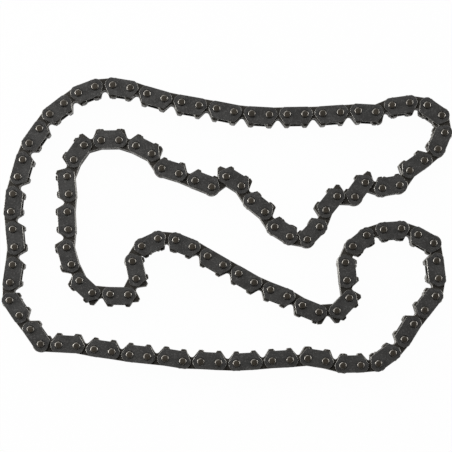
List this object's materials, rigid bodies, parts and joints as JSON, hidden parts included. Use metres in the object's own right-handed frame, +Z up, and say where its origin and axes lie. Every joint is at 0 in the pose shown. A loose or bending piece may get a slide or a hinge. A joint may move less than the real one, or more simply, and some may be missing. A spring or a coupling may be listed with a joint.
{
  "type": "timing chain",
  "caption": "Closed loop of silent timing chain: toothed plates on round pins, laid loose on its side",
  "frame": {"origin": "middle of the loop as it lies, on the surface that it lies on", "axes": "+X along the long side of the lay, +Y along its short side, +Z up along the pins"},
  "size_m": [0.161, 0.1057, 0.0092],
  "materials": {
    "guide_plates": "dark grey hardened steel, satin and finely speckled",
    "link_plates": "dark brownish grey hardened steel with bright sheared edges",
    "pins": "ground steel, bright at the rim of the riveted head and dull in its middle",
    "chain": "dark hardened steel plates on brighter pins"
  },
  "bodies": {
    "section_01": {"section_01": "chain"},
    "section_02": {"section_02": "chain"},
    "section_03": {"section_03": "chain"},
    "section_04": {"section_04": "chain"},
    "section_05": {"section_05": "chain"},
    "section_06": {"section_06": "chain"},
    "section_07": {"section_07": "chain"},
    "section_08": {"section_08": "chain"},
    "section_09": {"section_09": "chain"},
    "section_10": {"section_10": "chain"},
    "section_11": {"section_11": "chain"},
    "section_12": {"section_12": "chain"},
    "section_13": {"section_13": "chain"},
    "section_14": {"section_14": "chain"},
    "section_15": {"section_15": "chain"},
    "section_16": {"section_16": "chain"},
    "section_17": {"section_17": "chain"},
    "section_18": {"section_18": "chain"},
    "section_19": {"section_19": "chain"},
    "section_20": {"section_20": "chain"},
    "section_21": {"section_21": "chain"},
    "section_22": {"section_22": "chain"},
    "section_23": {"section_23": "chain"},
    "section_24": {"section_24": "chain"},
    "section_25": {"section_25": "chain"},
    "section_26": {"section_26": "chain"},
    "section_27": {"section_27": "chain"},
    "section_28": {"section_28_guide_plates": "guide_plates", "section_28_link_plates": "link_plates", "section_28_pins": "pins"},
    "section_29": {"section_29": "chain"},
    "section_30": {"section_30": "chain"},
    "section_31": {"section_31": "chain"},
    "section_32": {"section_32": "chain"},
    "section_33": {"section_33": "chain"},
    "section_34": {"section_34": "chain"},
    "section_35": {"section_35": "chain"},
    "section_36": {"section_36": "chain"},
    "section_37": {"section_37": "chain"},
    "section_38": {"section_38": "chain"},
    "section_39": {"section_39": "chain"},
    "section_40": {"section_40": "chain"},
    "section_41": {"section_41": "chain"},
    "section_42": {"section_42": "chain"},
    "section_43": {"section_43": "chain"},
    "section_44": {"section_44": "chain"},
    "section_45": {"section_45": "chain"},
    "section_46": {"section_46": "chain"},
    "section_47": {"section_47": "chain"},
    "section_48": {"section_48": "chain"},
    "section_49": {"section_49": "chain"},
    "section_50": {"section_50": "chain"},
    "section_51": {"section_51": "chain"},
    "section_52": {"section_52": "chain"},
    "section_53": {"section_53": "chain"},
    "section_54": {"section_54": "chain"},
    "section_55": {"section_55": "chain"},
    "section_56": {"section_56": "chain"},
    "section_57": {"section_57": "chain"},
    "section_58": {"section_58": "chain"}
  },
  "joints": [
    {"name": "hinge_01_02", "type": "hinge", "parent": "section_02", "child": "section_01", "pos_m": [-0.0249, -0.00492, 0.0045], "axis": [0, 0, 1], "range_deg": [-12.41, 0.5]},
    {"name": "hinge_02_03", "type": "hinge", "parent": "section_03", "child": "section_02", "pos_m": [-0.01268, -0.00785, 0.0045], "axis": [0, 0, 1], "range_deg": [-3.1, 0.5]},
    {"name": "hinge_03_04", "type": "hinge", "parent": "section_04", "child": "section_03", "pos_m": [0.02104, -0.02541, 0.0045], "axis": [0, 0, 1], "range_deg": [-0.5, 3.1]},
    {"name": "hinge_04_05", "type": "hinge", "parent": "section_05", "child": "section_04", "pos_m": [0.03237, -0.03106, 0.0045], "axis": [0, 0, 1], "range_deg": [-0.5, 3.56]},
    {"name": "hinge_05_06", "type": "hinge", "parent": "section_06", "child": "section_05", "pos_m": [0.03871, -0.03062, 0.0045], "axis": [0, 0, 1], "range_deg": [-0.5, 11.11]},
    {"name": "hinge_06_07", "type": "hinge", "parent": "section_07", "child": "section_06", "pos_m": [0.04312, -0.02605, 0.0045], "axis": [0, 0, 1], "range_deg": [-0.5, 32.77]},
    {"name": "hinge_07_08", "type": "hinge", "parent": "section_08", "child": "section_07", "pos_m": [0.04179, -0.01342, 0.0045], "axis": [0, 0, 1], "range_deg": [-3.09, 0.5]},
    {"name": "hinge_08_09", "type": "hinge", "parent": "section_09", "child": "section_08", "pos_m": [0.04447, -0.00766, 0.0045], "axis": [0, 0, 1], "range_deg": [-3.08, 0.5]},
    {"name": "hinge_09_10", "type": "hinge", "parent": "section_10", "child": "section_09", "pos_m": [0.04941, -0.00367, 0.0045], "axis": [0, 0, 1], "range_deg": [-3.08, 0.5]},
    {"name": "hinge_10_11", "type": "hinge", "parent": "section_11", "child": "section_10", "pos_m": [0.06178, -0.00126, 0.0045], "axis": [0, 0, 1], "range_deg": [-3.07, 0.5]},
    {"name": "hinge_11_12", "type": "hinge", "parent": "section_12", "child": "section_11", "pos_m": [0.0733, -0.00651, 0.0045], "axis": [0, 0, 1], "range_deg": [-3.08, 0.5]},
    {"name": "hinge_12_13", "type": "hinge", "parent": "section_13", "child": "section_12", "pos_m": [0.07386, -0.02535, 0.0045], "axis": [0, 0, 1], "range_deg": [-3.09, 0.5]},
    {"name": "hinge_13_14", "type": "hinge", "parent": "section_14", "child": "section_13", "pos_m": [0.06267, -0.04075, 0.0045], "axis": [0, 0, 1], "range_deg": [-3.1, 0.5]},
    {"name": "hinge_14_15", "type": "hinge", "parent": "section_15", "child": "section_14", "pos_m": [0.05346, -0.04934, 0.0045], "axis": [0, 0, 1], "range_deg": [-52.66, 0.5]},
    {"name": "hinge_15_16", "type": "hinge", "parent": "section_16", "child": "section_15", "pos_m": [0.04078, -0.05001, 0.0045], "axis": [0, 0, 1], "range_deg": [-22.45, 0.5]},
    {"name": "hinge_16_17", "type": "hinge", "parent": "section_17", "child": "section_16", "pos_m": [0.02835, -0.04748, 0.0045], "axis": [0, 0, 1], "range_deg": [-0.5, 8.83]},
    {"name": "hinge_17_18", "type": "hinge", "parent": "section_18", "child": "section_17", "pos_m": [0.00301, -0.04925, 0.0045], "axis": [0, 0, 1], "range_deg": [-0.5, 20.36]},
    {"name": "hinge_18_19", "type": "hinge", "parent": "section_19", "child": "section_18", "pos_m": [-0.01602, -0.04847, 0.0045], "axis": [0, 0, 1], "range_deg": [-0.5, 40.41]},
    {"name": "hinge_19_20", "type": "hinge", "parent": "section_20", "child": "section_19", "pos_m": [-0.05372, -0.04306, 0.0045], "axis": [0, 0, 1], "range_deg": [-0.5, 14.1]},
    {"name": "hinge_20_21", "type": "hinge", "parent": "section_21", "child": "section_20", "pos_m": [-0.0664, -0.0424, 0.0045], "axis": [0, 0, 1], "range_deg": [-43.74, 0.5]},
    {"name": "hinge_21_22", "type": "hinge", "parent": "section_22", "child": "section_21", "pos_m": [-0.0775, -0.02693, 0.0045], "axis": [0, 0, 1], "range_deg": [-24.87, 0.5]},
    {"name": "hinge_22_23", "type": "hinge", "parent": "section_23", "child": "section_22", "pos_m": [-0.07584, -0.00798, 0.0045], "axis": [0, 0, 1], "range_deg": [-0.5, 6.52]},
    {"name": "hinge_23_24", "type": "hinge", "parent": "section_24", "child": "section_23", "pos_m": [-0.07717, 0.00465, 0.0045], "axis": [0, 0, 1], "range_deg": [-13.1, 0.5]},
    {"name": "hinge_24_25", "type": "hinge", "parent": "section_25", "child": "section_24", "pos_m": [-0.07084, 0.02913, 0.0045], "axis": [0, 0, 1], "range_deg": [-19.49, 0.5]},
    {"name": "hinge_25_26", "type": "hinge", "parent": "section_26", "child": "section_25", "pos_m": [-0.06355, 0.03954, 0.0045], "axis": [0, 0, 1], "range_deg": [-26.27, 0.5]},
    {"name": "hinge_26_27", "type": "hinge", "parent": "section_27", "child": "section_26", "pos_m": [-0.04748, 0.04945, 0.0045], "axis": [0, 0, 1], "range_deg": [-35, 0.5]},
    {"name": "hinge_27_28", "type": "hinge", "parent": "section_28", "child": "section_27", "pos_m": [-0.03489, 0.04901, 0.0045], "axis": [0, 0, 1], "range_deg": [-0.5, 3.1]},
    {"name": "hinge_28_29", "type": "hinge", "parent": "section_28", "child": "section_29", "pos_m": [0.00217, 0.04046, 0.0045], "axis": [0, 0, 1], "range_deg": [-14.69, 0.5]},
    {"name": "hinge_29_30", "type": "hinge", "parent": "section_29", "child": "section_30", "pos_m": [0.01483, 0.03946, 0.0045], "axis": [0, 0, 1], "range_deg": [-16.42, 0.5]},
    {"name": "hinge_30_31", "type": "hinge", "parent": "section_30", "child": "section_31", "pos_m": [0.05288, 0.04046, 0.0045], "axis": [0, 0, 1], "range_deg": [-23.6, 0]},
    {"name": "hinge_31_32", "type": "hinge", "parent": "section_31", "child": "section_32", "pos_m": [0.07131, 0.04294, 0.0045], "axis": [0, 0, 1], "range_deg": [-0.5, 18.22]},
    {"name": "hinge_32_33", "type": "hinge", "parent": "section_32", "child": "section_33", "pos_m": [0.07651, 0.0393, 0.0045], "axis": [0, 0, 1], "range_deg": [-0.5, 19.92]},
    {"name": "hinge_33_34", "type": "hinge", "parent": "section_33", "child": "section_34", "pos_m": [0.0775, 0.03303, 0.0045], "axis": [0, 0, 1], "range_deg": [-0.5, 8.13]},
    {"name": "hinge_34_35", "type": "hinge", "parent": "section_34", "child": "section_35", "pos_m": [0.07502, 0.02718, 0.0045], "axis": [0, 0, 1], "range_deg": [-0.5, 3.1]},
    {"name": "hinge_35_36", "type": "hinge", "parent": "section_35", "child": "section_36", "pos_m": [0.06131, 0.01426, 0.0045], "axis": [0, 0, 1], "range_deg": [-0.5, 10.02]},
    {"name": "hinge_36_37", "type": "hinge", "parent": "section_36", "child": "section_37", "pos_m": [0.05506, 0.01315, 0.0045], "axis": [0, 0, 1], "range_deg": [-0.5, 11.95]},
    {"name": "hinge_37_38", "type": "hinge", "parent": "section_37", "child": "section_38", "pos_m": [0.04902, 0.01512, 0.0045], "axis": [0, 0, 1], "range_deg": [-50.28, 0.5]},
    {"name": "hinge_38_39", "type": "hinge", "parent": "section_38", "child": "section_39", "pos_m": [0.04529, 0.00998, 0.0045], "axis": [0, 0, 1], "range_deg": [-0.5, 32.27]},
    {"name": "hinge_39_40", "type": "hinge", "parent": "section_39", "child": "section_40", "pos_m": [0.03894, 0.0102, 0.0045], "axis": [0, 0, 1], "range_deg": [-44.41, 0.5]},
    {"name": "hinge_40_41", "type": "hinge", "parent": "section_40", "child": "section_41", "pos_m": [0.03267, -0.00066, 0.0045], "axis": [0, 0, 1], "range_deg": [-0.5, 3.11]},
    {"name": "hinge_41_42", "type": "hinge", "parent": "section_41", "child": "section_42", "pos_m": [0.02826, -0.00523, 0.0045], "axis": [0, 0, 1], "range_deg": [-0.5, 29.27]},
    {"name": "hinge_42_43", "type": "hinge", "parent": "section_42", "child": "section_43", "pos_m": [0.022, -0.00413, 0.0045], "axis": [0, 0, 1], "range_deg": [-0.5, 9]},
    {"name": "hinge_43_44", "type": "hinge", "parent": "section_43", "child": "section_44", "pos_m": [0.01662, -0.00076, 0.0045], "axis": [0, 0, 1], "range_deg": [-0.5, 7.06]},
    {"name": "hinge_44_45", "type": "hinge", "parent": "section_44", "child": "section_45", "pos_m": [0.00477, 0.01388, 0.0045], "axis": [0, 0, 1], "range_deg": [-17.21, 0.5]},
    {"name": "hinge_45_46", "type": "hinge", "parent": "section_45", "child": "section_46", "pos_m": [-0.00062, 0.01725, 0.0045], "axis": [0, 0, 1], "range_deg": [-44.65, 0.5]},
    {"name": "hinge_46_47", "type": "hinge", "parent": "section_46", "child": "section_47", "pos_m": [-0.00575, 0.01352, 0.0045], "axis": [0, 0, 1], "range_deg": [-0.5, 32.64]},
    {"name": "hinge_47_48", "type": "hinge", "parent": "section_47", "child": "section_48", "pos_m": [-0.0236, 0.02013, 0.0045], "axis": [0, 0, 1], "range_deg": [-0.5, 25.86]},
    {"name": "hinge_48_49", "type": "hinge", "parent": "section_48", "child": "section_49", "pos_m": [-0.02715, 0.0254, 0.0045], "axis": [0, 0, 1], "range_deg": [-18.3, 0.5]},
    {"name": "hinge_49_50", "type": "hinge", "parent": "section_49", "child": "section_50", "pos_m": [-0.03885, 0.03024, 0.0045], "axis": [0, 0, 1], "range_deg": [-12.74, 0.5]},
    {"name": "hinge_50_51", "type": "hinge", "parent": "section_50", "child": "section_51", "pos_m": [-0.0513, 0.02838, 0.0045], "axis": [0, 0, 1], "range_deg": [-26.35, 0.5]},
    {"name": "hinge_51_52", "type": "hinge", "parent": "section_51", "child": "section_52", "pos_m": [-0.05722, 0.01725, 0.0045], "axis": [0, 0, 1], "range_deg": [-15.19, 0.5]},
    {"name": "hinge_52_53", "type": "hinge", "parent": "section_52", "child": "section_53", "pos_m": [-0.05733, -0.00808, 0.0045], "axis": [0, 0, 1], "range_deg": [-11.6, 0.5]},
    {"name": "hinge_53_54", "type": "hinge", "parent": "section_53", "child": "section_54", "pos_m": [-0.0528, -0.01989, 0.0045], "axis": [0, 0, 1], "range_deg": [-7.48, 0.5]},
    {"name": "hinge_54_55", "type": "hinge", "parent": "section_54", "child": "section_55", "pos_m": [-0.04815, -0.02422, 0.0045], "axis": [0, 0, 1], "range_deg": [-11.81, 0.5]},
    {"name": "hinge_55_56", "type": "hinge", "parent": "section_55", "child": "section_56", "pos_m": [-0.03548, -0.02488, 0.0045], "axis": [0, 0, 1], "range_deg": [-18.96, 0.5]},
    {"name": "hinge_56_57", "type": "hinge", "parent": "section_56", "child": "section_57", "pos_m": [-0.03259, -0.01923, 0.0045], "axis": [0, 0, 1], "range_deg": [-10.47, 0.5]},
    {"name": "hinge_57_58", "type": "hinge", "parent": "section_57", "child": "section_58", "pos_m": [-0.03396, -0.01302, 0.0045], "axis": [0, 0, 1], "range_deg": [-0.5, 26.32]}
  ],
  "couplings": [
    {"joint": "hinge_01_02", "follows": "hinge_30_31", "ratio": 0.50472},
    {"joint": "hinge_02_03", "follows": "hinge_30_31", "ratio": 0.11037},
    {"joint": "hinge_03_04", "follows": "hinge_30_31", "ratio": -0.11036},
    {"joint": "hinge_04_05", "follows": "hinge_30_31", "ratio": -0.12985},
    {"joint": "hinge_05_06", "follows": "hinge_30_31", "ratio": -0.44939},
    {"joint": "hinge_06_07", "follows": "hinge_30_31", "ratio": -1.3674},
    {"joint": "hinge_07_08", "follows": "hinge_30_31", "ratio": 0.10975},
    {"joint": "hinge_08_09", "follows": "hinge_30_31", "ratio": 0.10943},
    {"joint": "hinge_09_10", "follows": "hinge_30_31", "ratio": 0.10921},
    {"joint": "hinge_10_11", "follows": "hinge_30_31", "ratio": 0.10903},
    {"joint": "hinge_11_12", "follows": "hinge_30_31", "ratio": 0.10922},
    {"joint": "hinge_12_13", "follows": "hinge_30_31", "ratio": 0.10976},
    {"joint": "hinge_13_14", "follows": "hinge_30_31", "ratio": 0.11023},
    {"joint": "hinge_14_15", "follows": "hinge_30_31", "ratio": 2.2103},
    {"joint": "hinge_15_16", "follows": "hinge_30_31", "ratio": 0.93026},
    {"joint": "hinge_16_17", "follows": "hinge_30_31", "ratio": -0.35305},
    {"joint": "hinge_17_18", "follows": "hinge_30_31", "ratio": -0.84173},
    {"joint": "hinge_18_19", "follows": "hinge_30_31", "ratio": -1.6912},
    {"joint": "hinge_19_20", "follows": "hinge_30_31", "ratio": -0.57609},
    {"joint": "hinge_20_21", "follows": "hinge_30_31", "ratio": 1.8321},
    {"joint": "hinge_21_22", "follows": "hinge_30_31", "ratio": 1.0327},
    {"joint": "hinge_22_23", "follows": "hinge_30_31", "ratio": -0.25517},
    {"joint": "hinge_23_24", "follows": "hinge_30_31", "ratio": 0.53376},
    {"joint": "hinge_24_25", "follows": "hinge_30_31", "ratio": 0.8048},
    {"joint": "hinge_25_26", "follows": "hinge_30_31", "ratio": 1.092},
    {"joint": "hinge_26_27", "follows": "hinge_30_31", "ratio": 1.4617},
    {"joint": "hinge_27_28", "follows": "hinge_30_31", "ratio": -0.11035},
    {"joint": "hinge_28_29", "follows": "hinge_30_31", "ratio": 0.60113},
    {"joint": "hinge_29_30", "follows": "hinge_30_31", "ratio": 0.67438},
    {"joint": "hinge_31_32", "follows": "hinge_30_31", "ratio": -0.75072},
    {"joint": "hinge_32_33", "follows": "hinge_30_31", "ratio": -0.82288},
    {"joint": "hinge_33_34", "follows": "hinge_30_31", "ratio": -0.32318},
    {"joint": "hinge_34_35", "follows": "hinge_30_31", "ratio": -0.11038},
    {"joint": "hinge_35_36", "follows": "hinge_30_31", "ratio": -0.4033},
    {"joint": "hinge_36_37", "follows": "hinge_30_31", "ratio": -0.48521},
    {"joint": "hinge_37_38", "follows": "hinge_30_31", "ratio": 2.1094},
    {"joint": "hinge_38_39", "follows": "hinge_30_31", "ratio": -1.3464},
    {"joint": "hinge_39_40", "follows": "hinge_30_31", "ratio": 1.8606},
    {"joint": "hinge_40_41", "follows": "hinge_30_31", "ratio": -0.11039},
    {"joint": "hinge_41_42", "follows": "hinge_30_31", "ratio": -1.219},
    {"joint": "hinge_42_43", "follows": "hinge_30_31", "ratio": -0.36018},
    {"joint": "hinge_43_44", "follows": "hinge_30_31", "ratio": -0.2781},
    {"joint": "hinge_44_45", "follows": "hinge_30_31", "ratio": 0.70812},
    {"joint": "hinge_45_46", "follows": "hinge_30_31", "ratio": 1.8708},
    {"joint": "hinge_46_47", "follows": "hinge_30_31", "ratio": -1.3619},
    {"joint": "hinge_47_48", "follows": "hinge_30_31", "ratio": -1.0745},
    {"joint": "hinge_48_49", "follows": "hinge_30_31", "ratio": 0.75418},
    {"joint": "hinge_49_50", "follows": "hinge_30_31", "ratio": 0.5185},
    {"joint": "hinge_50_51", "follows": "hinge_30_31", "ratio": 1.0954},
    {"joint": "hinge_51_52", "follows": "hinge_30_31", "ratio": 0.62228},
    {"joint": "hinge_52_53", "follows": "hinge_30_31", "ratio": 0.47039},
    {"joint": "hinge_53_54", "follows": "hinge_30_31", "ratio": 0.29572},
    {"joint": "hinge_54_55", "follows": "hinge_30_31", "ratio": 0.47933},
    {"joint": "hinge_55_56", "follows": "hinge_30_31", "ratio": 0.7823},
    {"joint": "hinge_56_57", "follows": "hinge_30_31", "ratio": 0.42247},
    {"joint": "hinge_57_58", "follows": "hinge_30_31", "ratio": -1.0942}
  ]
}
